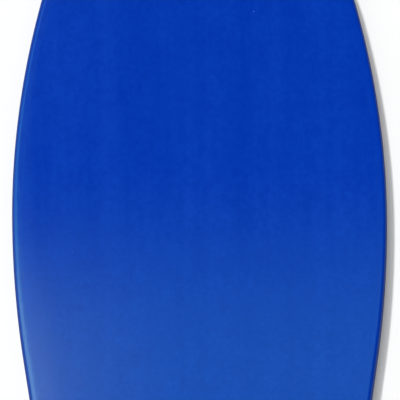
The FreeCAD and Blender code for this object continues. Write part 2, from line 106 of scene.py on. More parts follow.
# Cut polyethylene foam: open cells about a millimetre across, dull, white with a trace of cream.
cut_foam, tree, here = start_finish("cut_polyethylene_foam")
cells = add(tree, "ShaderNodeTexVoronoi", {"Vector": here, "Scale": 1000 / CORE_CELL},
            feature="DISTANCE_TO_EDGE")
sanding = add(tree, "ShaderNodeTexNoise", {"Vector": here, "Scale": 1000 / CORE_SANDING, "Detail": 3.0})
wall = add(tree, "ShaderNodeMapRange", {"Value": cells.outputs["Distance"], "From Max": CORE_WALL,
                                        "To Min": 1.0, "To Max": 0.0})
shade = add(tree, "ShaderNodeMath", {0: wall.outputs["Result"], 1: sanding.outputs["Fac"]},
            operation="MULTIPLY")
colour = add(tree, "ShaderNodeMix", {0: shade.outputs["Value"], 6: linear(CORE_WHITE),
                                     7: linear(CORE_CELL_WALL)}, data_type="RGBA")
relief = add(tree, "ShaderNodeBump", {"Height": wall.outputs["Result"], "Strength": 0.6,
                                      "Distance": CORE_PIT / 1000})
surface = add(tree, "ShaderNodeBsdfPrincipled", {"Base Color": colour.outputs[2], "Roughness": 0.85,
                                                 "IOR": 1.5, "Normal": relief.outputs["Normal"]})
add(tree, "ShaderNodeOutputMaterial", {"Surface": surface.outputs["BSDF"]})
refinish(cut_foam, "foam_core", "core_bore_plug")

# ---- Stringer ------------------------------------------------------------------------
# The stringer is a thin-walled rod of carbon fibre and epoxy, rolled from cloth and cured under
# shrink tape. It is glued into the bore to stiffen the board, with a moulded nylon bung in each
# end to keep water out.
TOW_WIDTH = 2.0  # mm across one bundle of fibres
TAPE_PITCH = 4.0  # mm between the ridges that shrink tape leaves
TAPE_RIDGE = 0.05  # mm high
CARBON_DARK = "#0C0D0F"
CARBON_LIGHT = "#2A2C30"
NYLON_BLACK = "#17181A"
NYLON_WORN = "#1F2023"
NYLON_CLOUD = 8.3  # mm across one paler patch
NYLON_GRAIN = 0.35  # mm, the fine texture of a moulded part
NYLON_RELIEF = 0.08  # mm deep

# Rolled carbon fibre: diagonal tows in near-black epoxy, glossy, with low ridges round the rod.
carbon, tree, here = start_finish("rolled_carbon_fibre")
parts = add(tree, "ShaderNodeSeparateXYZ", {0: here})
slant = add(tree, "ShaderNodeMath", {0: parts.outputs["X"], 1: parts.outputs["Y"]}, operation="ADD")
tow_turn = add(tree, "ShaderNodeMath", {0: slant.outputs["Value"], 1: 2 * math.pi * 1000 / TOW_WIDTH},
               operation="MULTIPLY")
tow = add(tree, "ShaderNodeMath", {0: tow_turn.outputs["Value"]}, operation="SINE")
tape_turn = add(tree, "ShaderNodeMath", {0: parts.outputs["Y"], 1: 2 * math.pi * 1000 / TAPE_PITCH},
                operation="MULTIPLY")
tape = add(tree, "ShaderNodeMath", {0: tape_turn.outputs["Value"]}, operation="SINE")
over = add(tree, "ShaderNodeMapRange", {"Value": tow.outputs["Value"], "From Min": -0.4, "From Max": 0.4})
colour = add(tree, "ShaderNodeMix", {0: over.outputs["Result"], 6: linear(CARBON_DARK),
                                     7: linear(CARBON_LIGHT)}, data_type="RGBA")
relief = add(tree, "ShaderNodeBump", {"Height": tape.outputs["Value"], "Strength": 0.5,
                                      "Distance": TAPE_RIDGE / 1000})
surface = add(tree, "ShaderNodeBsdfPrincipled", {"Base Color": colour.outputs[2], "Roughness": 0.22,
                                                 "IOR": 1.56, "Normal": relief.outputs["Normal"]})
add(tree, "ShaderNodeOutputMaterial", {"Surface": surface.outputs["BSDF"]})
refinish(carbon, "stringer_tube")

# Moulded nylon: black, with the faint sparkle of a spark-eroded mould.
nylon, tree, here = start_finish("moulded_black_nylon")
grain = add(tree, "ShaderNodeTexNoise", {"Vector": here, "Scale": 1000 / NYLON_GRAIN, "Detail": 2.0})
cloud = add(tree, "ShaderNodeTexNoise", {"Vector": here, "Scale": 1000 / NYLON_CLOUD, "Detail": 2.0})
gloss = add(tree, "ShaderNodeMapRange", {"Value": cloud.outputs["Fac"], "To Min": 0.34, "To Max": 0.5})
colour = add(tree, "ShaderNodeMix", {0: cloud.outputs["Fac"], 6: linear(NYLON_BLACK),
                                     7: linear(NYLON_WORN)}, data_type="RGBA")
relief = add(tree, "ShaderNodeBump", {"Height": grain.outputs["Fac"], "Strength": 0.35,
                                      "Distance": NYLON_RELIEF / 1000})
surface = add(tree, "ShaderNodeBsdfPrincipled", {"Base Color": colour.outputs[2], "IOR": 1.53,
                                                 "Roughness": gloss.outputs["Result"],
                                                 "Normal": relief.outputs["Normal"]})
add(tree, "ShaderNodeOutputMaterial", {"Surface": surface.outputs["BSDF"]})
refinish(nylon, "stringer_bung_front", "stringer_bung_rear")

# ---- Slick backing -------------------------------------------------------------------
# A two-millimetre polyethylene foam sheet with a plastic net bonded into it, laid between the core
# and the slick bottom so that the bottom can't crease. It is covered on both sides.
NET_PITCH = 4.0  # mm between the threads of the net
NET_THREAD = 0.2  # mm high
SHEET_WHITE = "#E3E4E4"
NET_GREY = "#B9BCBF"

# Netted foam sheet: off-white and dull, with a square grey net showing through its face.
netted_foam, tree, here = start_finish("netted_foam_sheet")
parts = add(tree, "ShaderNodeSeparateXYZ", {0: here})
threads = []
for axis in "XY":
    turn = add(tree, "ShaderNodeMath", {0: parts.outputs[axis], 1: 2 * math.pi * 1000 / NET_PITCH},
               operation="MULTIPLY")
    wave = add(tree, "ShaderNodeMath", {0: turn.outputs["Value"]}, operation="SINE")
    threads.append(add(tree, "ShaderNodeMapRange", {"Value": wave.outputs["Value"], "From Min": 0.82,
                                                    "From Max": 0.95}).outputs["Result"])
net = add(tree, "ShaderNodeMath", {0: threads[0], 1: threads[1]}, operation="MAXIMUM")
colour = add(tree, "ShaderNodeMix", {0: net.outputs["Value"], 6: linear(SHEET_WHITE),
                                     7: linear(NET_GREY)}, data_type="RGBA")
relief = add(tree, "ShaderNodeBump", {"Height": net.outputs["Value"], "Strength": 0.7,
                                      "Distance": NET_THREAD / 1000})
surface = add(tree, "ShaderNodeBsdfPrincipled", {"Base Color": colour.outputs[2], "Roughness": 0.7,
                                                 "IOR": 1.5, "Normal": relief.outputs["Normal"]})
add(tree, "ShaderNodeOutputMaterial", {"Surface": surface.outputs["BSDF"]})
refinish(netted_foam, "slick_backing")

# ---- Slick bottom --------------------------------------------------------------------
# The slick is a hard, smooth polyethylene film, heat-bonded over the backing while the board is
# pressed. The press sinks two channels into the tail, and the film follows them. Its edge is
# trimmed a little inside the board's outline, where the lower rails lap it.
HALF_WIDTH = cad_box[1].x * 1000
HALF_BOARD = cad_box[1].y * 1000
WIDE_POINT = 40  # mm ahead of the middle
SHOULDER_RADIUS = 1160  # mm
SHOULDER_TURN = 16.6  # degrees
NOSE_SIDE_TURN = 31.4
NOSE_CORNER_RADIUS = 42
NOSE_CORNER_TURN = 32
TAIL_SIDE_RADIUS = 1450
TAIL_SIDE_TURN = 8.45
TAIL_CORNER_RADIUS = 28
CRESCENT_DEPTH = 22  # mm, the hollow of the tail
SAMPLE_STEP = 4.0  # mm along the outline
SAMPLE_TURN = 3.5  # degrees, in the corners
ROCKER_LENGTH = 380  # mm of the nose, which rises in an arc
BOTTOM_RISE = 32  # mm at the tip
SPINE = 330  # mm each way from the middle that the sheets' rings are drawn in to
CHANNEL_RADIUS = 80
CHANNEL_DEPTH = 7  # mm at the tail
CHANNEL_START = -270
CHANNEL_LENGTH = 250
CHANNEL_APART = 105  # mm each way from the middle line
CHANNEL_EASE = 1.2  # mm, the soft shoulder that a press leaves
FILM_EDGE = 13  # mm inside the outline
FILM_THICKNESS = 0.8
FILM_EASE = 0.25  # mm, how far the film's cut edge is rounded up
FACE_STEPS = 48  # rings of points from a sheet's edge to its middle line
BACK_STEPS = 36
CREASE = 40  # degrees between two faces that meet in a sharp edge
FILM_WHITE = "#DCE0E4"
FILM_SHADE = "#D2D7DC"
FILM_CLOUD = 71  # mm across one shaded patch
DRAW_LINE = 3.0  # mm between the fine lines that the film's roller leaves
DRAW_STRETCH = 0.02  # how much closer together things lie along such a line than across it
DRAW_RIDGE = 0.04  # mm high


def inward(heading, side):
    """The unit vector that points into the board for a path heading some way round it."""
    angle = math.radians(heading)
    return Vector((-math.sin(angle), math.cos(angle))) * side


def swing(side, start, end):
    """How far an arc of unit radius goes between two turns, in degrees past the widest point."""
    return inward((90 + start) * side, side) - inward((90 + end) * side, side)


def nose_runs():
    """The arcs from the widest point to the nose, as (radius in mm, turn in degrees)."""
    turns = [SHOULDER_TURN, NOSE_SIDE_TURN, NOSE_CORNER_TURN]
    turns.append(90 - sum(turns))
    swings = [swing(1, sum(turns[:at]), sum(turns[:at + 1])) for at in range(len(turns))]
    # The side's and the end's radius are those that bring the last arc to the middle of the nose.
    left = Vector((-HALF_WIDTH, HALF_BOARD - WIDE_POINT))
    left -= swings[0] * SHOULDER_RADIUS + swings[2] * NOSE_CORNER_RADIUS
    apart = swings[1].cross(swings[3])
    radii = (SHOULDER_RADIUS, left.cross(swings[3]) / apart,
             NOSE_CORNER_RADIUS, swings[1].cross(left) / apart)
    return tuple(zip(radii, turns))


def tail_runs():
    """The runs from the widest point to the tail, where one with no radius is a straight in mm."""
    heading = -90 - TAIL_SIDE_TURN
    to_corner = inward(heading, -1) * TAIL_CORNER_RADIUS
    start = Vector((HALF_WIDTH, WIDE_POINT)) + swing(-1, 0, TAIL_SIDE_TURN) * TAIL_SIDE_RADIUS + to_corner
    # The straight ends where the corner's arc just touches the board's end, and the crescent's arc
    # leaves the corner's smoothly.
    straight = (TAIL_CORNER_RADIUS - HALF_BOARD - start.y) / math.sin(math.radians(heading))
    corner = start.x + math.cos(math.radians(heading)) * straight
    over = TAIL_CORNER_RADIUS ** 2 - (TAIL_CORNER_RADIUS - CRESCENT_DEPTH) ** 2
    crescent = (corner ** 2 - over) / (2 * CRESCENT_DEPTH)
    back = math.degrees(math.asin(corner / (crescent + TAIL_CORNER_RADIUS)))
    return ((TAIL_SIDE_RADIUS, TAIL_SIDE_TURN), (None, straight),
            (TAIL_CORNER_RADIUS, 90 - TAIL_SIDE_TURN + back), (-crescent, back))


def walk(side, runs):
    """Points and inward normals from the widest point to the nose (side 1) or the tail (side -1)."""
    heading = 90 * side
    stops = [(Vector((HALF_WIDTH, WIDE_POINT)), inward(heading, side))]
    for radius, reach in runs:
        start = stops[-1][0]
        if radius is None:
            count = math.ceil(reach / SAMPLE_STEP)
            along = Vector((math.cos(math.radians(heading)), math.sin(math.radians(heading))))
            stops += [(start + along * reach * (n + 1) / count, inward(heading, side)) for n in range(count)]
            continue
        count = math.ceil(max(abs(radius) * math.radians(reach) / SAMPLE_STEP, reach / SAMPLE_TURN))
        centre = start + inward(heading, side) * radius
        for _ in range(count):
            heading += side * math.copysign(reach / count, radius)
            stops.append((centre - inward(heading, side) * radius, inward(heading, side)))
    stops[-1] = (Vector((0, stops[-1][0].y)), Vector((0, -side)))
    return stops


def outline():
    """The whole outline from the middle of the tail, up the right side and down the left."""
    right = walk(-1, tail_runs())[::-1] + walk(1, nose_runs())[1:]
    left = [(Vector((-at.x, at.y)), Vector((-normal.x, normal.y))) for at, normal in right[-2:0:-1]]
    return right + left


def bend(y, rise):
    """How far the nose has risen at y, in mm, if it rises by so much at its tip."""
    radius = (ROCKER_LENGTH ** 2 + rise ** 2) / (2 * rise)
    run = max(0.0, y - (HALF_BOARD - ROCKER_LENGTH))
    return radius - math.sqrt(radius ** 2 - run ** 2)


def bottom_height(x, y):
    """The bottom's height with its two tail channels, in mm."""
    off = abs(abs(x) - CHANNEL_APART)
    depth = (CHANNEL_START - y) / CHANNEL_LENGTH * CHANNEL_DEPTH
    roof = math.sqrt(max(0.0, CHANNEL_RADIUS ** 2 - off ** 2)) - CHANNEL_RADIUS + depth
    return bend(y, BOTTOM_RISE) + (roof + math.hypot(roof, CHANNEL_EASE)) / 2


def loft(name, loops, finish):
    """A closed piece from loops of points in mm, each joined to the next, with its end loops zipped up."""
    mesh = bmesh.new()
    rows = [[mesh.verts.new(Vector(point) / 1000) for point in loop] for loop in loops]
    for lower, upper in zip(rows, rows[1:]):
        for at in range(len(lower)):
            after = (at + 1) % len(lower)
            mesh.faces.new((lower[at], lower[after], upper[after], upper[at]))
    bmesh.ops.remove_doubles(mesh, verts=mesh.verts, dist=1e-7)
    bmesh.ops.recalc_face_normals(mesh, faces=mesh.faces)
    return finished(name, mesh, finish)


def finished(name, mesh, finish):
    """A smooth-shaded object that rides on the board, from an edited mesh."""
    data = bpy.data.meshes.new(name)
    mesh.to_mesh(data)
    mesh.free()
    data.materials.clear()
    data.materials.append(finish)
    data.polygons.foreach_set("use_smooth", [True] * len(data.polygons))
    data.set_sharp_from_angle(angle=math.radians(CREASE))
    piece = bpy.data.objects.new(name, data)
    bpy.context.scene.collection.objects.link(piece)
    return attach(piece, "root")


def drawn_in(edge, steps, height):
    """Loops from an edge, as (inset, lift) pairs, drawn in to the middle line in even steps."""
    border = outline()
    nearest = KDTree(len(border))
    for index, (at, normal) in enumerate(border):
        nearest.insert((*at, 0), index)
    nearest.balance()
    loops = []
    for inset, lift in edge:
        ring = [at + normal * inset for at, normal in border]
        loops.append([(p.x, p.y, height(p.x, p.y, inset) + lift) for p in ring])
    for step in range(1, steps + 1):
        loop = []
        for index, point in enumerate(ring):
            up = min(index, len(ring) - index) / (len(ring) / 2)
            x, y = point.lerp(Vector((0, SPINE * (2 * up - 1))), step / steps)
            loop.append((x, y, height(x, y, nearest.find((x, y, 0))[2]) + lift))
        loops.append(loop)
    return loops


# Extruded polyethylene film: hard and glossy, off-white, with faint lines along the board.
film_finish, tree, here = start_finish("extruded_polyethylene_film")
lengthwise = add(tree, "ShaderNodeMapping", {"Vector": here, "Scale": (1.0, DRAW_STRETCH, 1.0)})
lines = add(tree, "ShaderNodeTexNoise", {"Vector": lengthwise.outputs["Vector"],
                                         "Scale": 1000 / DRAW_LINE, "Detail": 3.0})
cloud = add(tree, "ShaderNodeTexNoise", {"Vector": here, "Scale": 1000 / FILM_CLOUD, "Detail": 3.0})
colour = add(tree, "ShaderNodeMix", {0: cloud.outputs["Fac"], 6: linear(FILM_WHITE),
                                     7: linear(FILM_SHADE)}, data_type="RGBA")
gloss = add(tree, "ShaderNodeMapRange", {"Value": lines.outputs["Fac"], "To Min": 0.16, "To Max": 0.26})
relief = add(tree, "ShaderNodeBump", {"Height": lines.outputs["Fac"], "Strength": 0.4,
                                      "Distance": DRAW_RIDGE / 1000})
surface = add(tree, "ShaderNodeBsdfPrincipled", {"Base Color": colour.outputs[2], "IOR": 1.52,
                                                 "Roughness": gloss.outputs["Result"],
                                                 "Normal": relief.outputs["Normal"]})
add(tree, "ShaderNodeOutputMaterial", {"Surface": surface.outputs["BSDF"]})

# The cut edge is eased over its first 0.3 mm, and the face stays flat from there on.
film_rim = [(FILM_EDGE + further, lift) for further, lift in ((0, FILM_EASE), (0.1, 0.08), (0.3, 0), (5, 0))]
film_face = drawn_in(film_rim, FACE_STEPS, lambda x, y, inset: bottom_height(x, y))
film_back = drawn_in(((FILM_EDGE, FILM_THICKNESS),), BACK_STEPS, lambda x, y, inset: bottom_height(x, y))
slick_sheet = loft("slick_sheet", film_face[::-1] + film_back, film_finish)
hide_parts("slick_film")

# ---- Deck skin -----------------------------------------------------------------------
# The deck is a four-millimetre sheet of cross-linked polyethylene foam, passed between hot rollers
# so that its face closes to a smooth satin skin, then heat-bonded to the core. It falls away gently
# towards the rails, and the rollers leave faint marks along the board.
THICKNESS = 52
DECK_RISE = 18  # mm at the tip
DECK_EDGE = 15  # mm inside the outline
DECK_SKIN = 4
DECK_FALL = 1.1  # mm that the deck has fallen at the outline
FALL_REACH = 60  # mm in from the outline
SKIN_BLUE = "#0032A9"
SKIN_LIGHT = "#043BB3"
SKIN_SHEEN = "#D0FFE8"  # the gloss takes some of the dye's colour
SPECK_BLUE = "#6E8FE0"
ROLLER_BAND = 50.0  # mm across, with finer streaks inside it
ROLLER_STRETCH = 0.03  # how much closer together things lie along a streak than across it
ROLLER_RIPPLE = 0.2  # mm deep
MOTTLE = 40.0  # mm across one cloud of the dye
FLECK = 7.0  # mm across one fleck, drawn coarser than the real 2 mm so that it shows
FLECK_POWER = 0.85  # against the clouds
SKIN_GRAIN = 1.6  # mm, drawn coarser than the real third of a millimetre so that it shows
GRAIN_RELIEF = 0.03  # mm deep
SKIN_GLOSS = (0.09, 0.19)  # roughness from streak to streak
SPECK_APART = 45.0  # mm from one place where a pale speck may be to the next
SPECK_SHARE = 0.25  # of those places
SPECK_CORE = 0.45  # mm from its middle to where it starts to fade
SPECK_RIM = 0.81
SEAM_ROUND = 0.1  # mm, which two edges that meet leave as a fine groove
SEAM_HOLD = 0.4  # mm from an edge, where the face is flat again
DECK_FACE_STEPS = 44  # rings of points from the sheet's edge to its middle line
DECK_BACK_STEPS = 16


def deck_height(x, y, inset):
    """The deck's height with its fall towards the rails, in mm."""
    near = max(0.0, 1 - inset / FALL_REACH)
    return THICKNESS + bend(y, DECK_RISE) - DECK_FALL * near ** 2


# Heat-rolled polyethylene foam skin: royal blue and satin, faintly clouded and flecked, a little
# streaky along the board, with a few pale specks where a cell has burst.
satin_skin, tree, here = start_finish("heat_rolled_foam_skin")
lengthwise = add(tree, "ShaderNodeMapping", {"Vector": here, "Scale": (1.0, ROLLER_STRETCH, 1.0)})
streaks = add(tree, "ShaderNodeTexNoise", {"Vector": lengthwise.outputs["Vector"],
                                           "Scale": 1000 / ROLLER_BAND, "Detail": 5.0, "Roughness": 0.6})
mottle = add(tree, "ShaderNodeTexNoise", {"Vector": here, "Scale": 1000 / MOTTLE, "Detail": 5.0,
                                          "Roughness": 0.8})
blend = add(tree, "ShaderNodeMath", {0: streaks.outputs["Fac"], 1: mottle.outputs["Fac"]},
            operation="MULTIPLY")
broad = add(tree, "ShaderNodeMapRange", {"Value": blend.outputs["Value"], "From Min": 0.12,
                                         "From Max": 0.4}, clamp=False)
fleck = add(tree, "ShaderNodeTexNoise", {"Vector": here, "Scale": 1000 / FLECK, "Detail": 2.0})
fine = add(tree, "ShaderNodeMapRange", {"Value": fleck.outputs["Fac"], "To Min": -FLECK_POWER,
                                        "To Max": FLECK_POWER})
spread = add(tree, "ShaderNodeMath", {0: broad.outputs["Result"], 1: fine.outputs["Result"]},
             use_clamp=True)
blue = add(tree, "ShaderNodeMix", {0: spread.outputs["Value"], 6: linear(SKIN_BLUE),
                                   7: linear(SKIN_LIGHT)}, data_type="RGBA")
specks = add(tree, "ShaderNodeTexVoronoi", {"Vector": here, "Scale": 1000 / SPECK_APART})
dot = add(tree, "ShaderNodeMapRange", {"Value": specks.outputs["Distance"],
                                       "From Min": SPECK_CORE / SPECK_APART,
                                       "From Max": SPECK_RIM / SPECK_APART,
                                       "To Min": 0.8, "To Max": 0.0})
chance = add(tree, "ShaderNodeSeparateColor", {"Color": specks.outputs["Color"]})
few = add(tree, "ShaderNodeMath", {0: chance.outputs["Red"], 1: 1 - SPECK_SHARE},
          operation="GREATER_THAN")
speck = add(tree, "ShaderNodeMath", {0: dot.outputs["Result"], 1: few.outputs["Value"]},
            operation="MULTIPLY")
colour = add(tree, "ShaderNodeMix", {0: speck.outputs["Value"], 6: blue.outputs[2],
                                     7: linear(SPECK_BLUE)}, data_type="RGBA")
gloss = add(tree, "ShaderNodeMapRange", {"Value": streaks.outputs["Fac"], "To Min": SKIN_GLOSS[0],
                                         "To Max": SKIN_GLOSS[1]})
grain = add(tree, "ShaderNodeTexNoise", {"Vector": here, "Scale": 1000 / SKIN_GRAIN, "Detail": 2.0})
ripple = add(tree, "ShaderNodeBump", {"Height": streaks.outputs["Fac"], "Strength": 0.25,
                                      "Distance": ROLLER_RIPPLE / 1000})
relief = add(tree, "ShaderNodeBump", {"Height": grain.outputs["Fac"], "Strength": 0.2,
                                      "Distance": GRAIN_RELIEF / 1000,
                                      "Normal": ripple.outputs["Normal"]})
surface = add(tree, "ShaderNodeBsdfPrincipled", {"Base Color": colour.outputs[2], "IOR": 1.5,
                                                 "Specular Tint": linear(SKIN_SHEEN),
                                                 "Roughness": gloss.outputs["Result"],
                                                 "Normal": relief.outputs["Normal"]})
add(tree, "ShaderNodeOutputMaterial", {"Surface": surface.outputs["BSDF"]})

# The edge rounds down to the seam, and more rings hold the face flat beside it.
deck_rim = [(DECK_EDGE, -SEAM_ROUND), (DECK_EDGE + 0.3 * SEAM_ROUND, -0.3 * SEAM_ROUND)]
deck_rim += [(DECK_EDGE + SEAM_ROUND, 0.0), (DECK_EDGE + SEAM_HOLD, 0.0)]
deck_rim += [(DECK_EDGE + further, 0.0) for further in (2, 5, 9)]
deck_face = drawn_in(deck_rim, DECK_FACE_STEPS, deck_height)
deck_back = drawn_in(((DECK_EDGE, -DECK_SKIN),), DECK_BACK_STEPS, deck_height)
deck_sheet = loft("deck_sheet", deck_face[::-1] + deck_back, satin_skin)
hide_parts("deck_skin")

# ---- Rails and bumpers ---------------------------------------------------------------
# Strips of the same foam are softened, wrapped round the edge and pressed on: an upper rail and a
# lower rail down each side, and one strip of the full height round the nose and one round the tail.
# The upper part rolls over into the deck, and the lower part turns in under the board to the film.
RAIL_SKIN = 5
RAIL_SEAM = 30.0  # mm above the bottom, where the two strips meet
RIM_HEIGHT = 51.0
RIM_RADIUS = 7.5
RIM_MIDDLE = 1.06  # the rim's rounding by the middle of the board, against its radius
RIM_TURN = 0.0014  # how much larger it is for each mm nearer the tail
RIM_LEAST = 0.85
RIM_MOST = 1.3
RIM_SPREAD = 1.25  # how much further it reaches over the deck than down the side
FLANGE = 4.0  # mm of foam turned in under the board
FLANGE_LEAST = 0.5  # mm of it that the press leaves over a channel
CORE_CHINE = (7.6, 43.6)  # mm in and up, the chamfer of the core's top edge under the strips
CORE_BEVEL = (10.6, 19.0)  # the same for its bottom edge
NOSE_JOINT = 458  # mm ahead of the middle
TAIL_JOINT = -474
ROUND_STEP = 6  # degrees between the points of a rounded corner
JOINT_ROUND = 0.4  # mm, where the strips meet each other down the side and end to end
JOINT_HOLD = 1.2  # mm from a joint, where the side is flat again
STRIP_SIDE_SHADE = "#002586"  # painted shade: the darker navy that the strip's side is drawn in
STRIP_PEBBLE = 1.1  # mm, drawn coarser than the real half millimetre so that it shows
PEBBLE_RELIEF = 0.05  # mm deep
STRIP_WAVE = 18.0  # mm from one wave to the next
WAVE_RELIEF = 0.4  # mm deep
STRIP_GLOSS = (0.75, 0.145)  # roughness down the side and on top
rail_top = deck_height(0, 0, DECK_EDGE)
rim_fall = (rail_top - RIM_HEIGHT) / DECK_EDGE
# Each section is a closed run of corners, as (mm in from the outline, height in mm, corner radius).
RIM = (0.0, RIM_HEIGHT, RIM_RADIUS)
WALL_FOOT = (0.0, 18.0, 6.0)
BOTTOM_EDGE = (6.0, 0.0, 1.0)
SEAM_SIDE = (0.0, RAIL_SEAM, JOINT_ROUND)
SEAM_BACK = (RAIL_SKIN, RAIL_SEAM, 0)
UPPER_OUTSIDE = ((DECK_EDGE, rail_top, SEAM_ROUND),
                 (DECK_EDGE - SEAM_HOLD, rail_top - SEAM_HOLD * rim_fall, 0), RIM)
LOWER_OUTSIDE = (WALL_FOOT, BOTTOM_EDGE, (FILM_EDGE, 0.0, FILM_EASE))
UPPER_INSIDE = ((RAIL_SKIN, CORE_CHINE[1], 0), (CORE_CHINE[0], THICKNESS - RAIL_SKIN, 0),
                (DECK_EDGE, THICKNESS - RAIL_SKIN, 0))
LOWER_INSIDE = ((FILM_EDGE, FLANGE, 0), (CORE_BEVEL[0], FLANGE, 0), (RAIL_SKIN, CORE_BEVEL[1], 0))
UPPER_RAIL = (*UPPER_OUTSIDE, (0.0, RAIL_SEAM + JOINT_HOLD, 0), SEAM_SIDE, SEAM_BACK, *UPPER_INSIDE)
LOWER_RAIL = (SEAM_SIDE, (0.0, RAIL_SEAM - JOINT_HOLD, 0), *LOWER_OUTSIDE, *LOWER_INSIDE, SEAM_BACK)
BUMPER = (*UPPER_OUTSIDE, *LOWER_OUTSIDE, *LOWER_INSIDE, *UPPER_INSIDE)


def rounded(corners):
    """The points of a closed section whose corners, as (across, up, radius), are turned in arcs."""
    points = []
    for index, (across, up, radius) in enumerate(corners):
        corner = Vector((across, up))
        before = (Vector(corners[index - 1][:2]) - corner).normalized()
        after = (Vector(corners[(index + 1) % len(corners)][:2]) - corner).normalized()
        turn = math.pi - before.angle(after)
        if not radius or turn < 0.01:
            points.append(corner)
            continue
        centre = corner + (before + after).normalized() * radius / math.cos(turn / 2)
        start = corner + before * radius * math.tan(turn / 2) - centre
        count = math.ceil(math.degrees(turn) / ROUND_STEP)
        way = -1 if before.x * after.y - before.y * after.x > 0 else 1
        points += [centre + Matrix.Rotation(way * turn * n / count, 2) @ start for n in range(count + 1)]
    return points


def line_object(name, points):
    """A closed line of straight spans through points in metres."""
    data = bpy.data.curves.new(name, "CURVE")
    data.dimensions = "3D"
    spline = data.splines.new("POLY")
    spline.points.add(len(points) - 1)
    for point, place in zip(spline.points, points):
        point.co = (*place, 1)
    spline.use_cyclic_u = True
    made = bpy.data.objects.new(name, data)
    bpy.context.scene.collection.objects.link(made)
    return made


def start_shape(name, inputs):
    """A new Geometry Nodes tree with named inputs and the kind of each, and their sockets in it."""
    tree = bpy.data.node_groups.new(name, "GeometryNodeTree")
    for place, kind in inputs.items():
        tree.interface.new_socket(name=place, in_out="INPUT", socket_type=f"NodeSocket{kind}")
    tree.interface.new_socket(name="Shape", in_out="OUTPUT", socket_type="NodeSocketGeometry")
    return tree, add(tree, "NodeGroupInput").outputs


# The strips follow the outline, so one tree sweeps a section round it and gives it its finish.
wrap, given = start_shape("wrap_strip_round_board", {"Outline": "Geometry", "Section": "Object",
                                                     "Finish": "Material"})
upright = add(wrap, "GeometryNodeSetCurveNormal", {"Curve": given["Outline"]}, mode="Z_UP")
section = add(wrap, "GeometryNodeObjectInfo", {"Object": given["Section"]})
swept = add(wrap, "GeometryNodeCurveToMesh", {"Curve": upright.outputs["Curve"],
                                              "Profile Curve": section.outputs["Geometry"]})
smooth = add(wrap, "GeometryNodeSetShadeSmooth", {"Geometry": swept.outputs["Mesh"]})
solid = add(wrap, "GeometryNodeRealizeInstances", {"Geometry": smooth.outputs["Geometry"]})
painted = add(wrap, "GeometryNodeSetMaterial", {"Geometry": solid.outputs["Geometry"],
                                                "Material": given["Finish"]})
add(wrap, "NodeGroupOutput", {"Shape": painted.outputs["Geometry"]})


def rim_reach(y):
    """How large the rim's rounding is at y, against its size by the middle of the board."""
    return min(RIM_MOST, max(RIM_LEAST, RIM_MIDDLE - RIM_TURN * y))


def wrapped(corners, finish):
    """A section swept round the outline, then lifted onto the board's own deck and bottom.

    Heights in the upper half are swept as how far they lie under the deck, and so are negative."""
    section = rounded(corners)
    places = [(-across / 1000, -(up - THICKNESS if up > THICKNESS / 2 else up) / 1000, 0)
              for across, up in section]
    profile = line_object("strip_section", places)
    border = outline()
    path = line_object("strip_path", [(at.x / 1000, at.y / 1000, 0) for at, normal in border])
    modifier = path.modifiers.new("wrap", "NODES")
    modifier.node_group = wrap
    modifier[wrap.interface.items_tree["Section"].identifier] = profile
    modifier[wrap.interface.items_tree["Finish"].identifier] = finish
    depsgraph = bpy.context.evaluated_depsgraph_get()
    strip = bpy.data.meshes.new_from_object(path.evaluated_get(depsgraph), depsgraph=depsgraph)
    bpy.data.objects.remove(path)
    bpy.data.objects.remove(profile)
    for vertex in strip.vertices:
        stop, corner = divmod(vertex.index, len(section))
        across, up = section[corner]
        if up > RIM_HEIGHT - RIM_RADIUS and across < RIM_RADIUS:
            reach = rim_reach(vertex.co.y * 1000)
            shift = border[stop][1] * across * (reach * RIM_SPREAD - 1)
            vertex.co += Vector((shift.x, shift.y, (up - RIM_HEIGHT) * (reach - 1))) / 1000
        x, y, swept = (1000 * part for part in vertex.co)
        if swept < -1e-4:
            vertex.co.z = (THICKNESS + bend(y, DECK_RISE) + swept) / 1000
        else:
            thinnest = min(swept, FLANGE_LEAST) if across > RIM_RADIUS else 0
            vertex.co.z = max(bend(y, BOTTOM_RISE) + swept, bottom_height(x, y) + thinnest) / 1000
    return strip


def trimmed(name, strip, finish, cuts):
    """A piece of a strip between flat cuts, as (point, direction cut away), with closed, eased ends."""
    mesh = bmesh.new()
    mesh.from_mesh(strip)
    for place, away in cuts:
        for back, clear in ((JOINT_HOLD, False), (0, True)):
            everything = mesh.verts[:] + mesh.edges[:] + mesh.faces[:]
            bmesh.ops.bisect_plane(mesh, geom=everything, plane_no=away, clear_outer=clear,
                                   plane_co=(Vector(place) - Vector(away) * back) / 1000)
    ends = bmesh.ops.holes_fill(mesh, edges=[edge for edge in mesh.edges if edge.is_boundary], sides=0)
    bmesh.ops.recalc_face_normals(mesh, faces=mesh.faces)
    rims = list({edge for face in ends["faces"] for edge in face.edges})
    bmesh.ops.bevel(mesh, geom=rims, offset=JOINT_ROUND / 1000, segments=3, profile=0.5, affect="EDGES")
    return finished(name, mesh, finish)
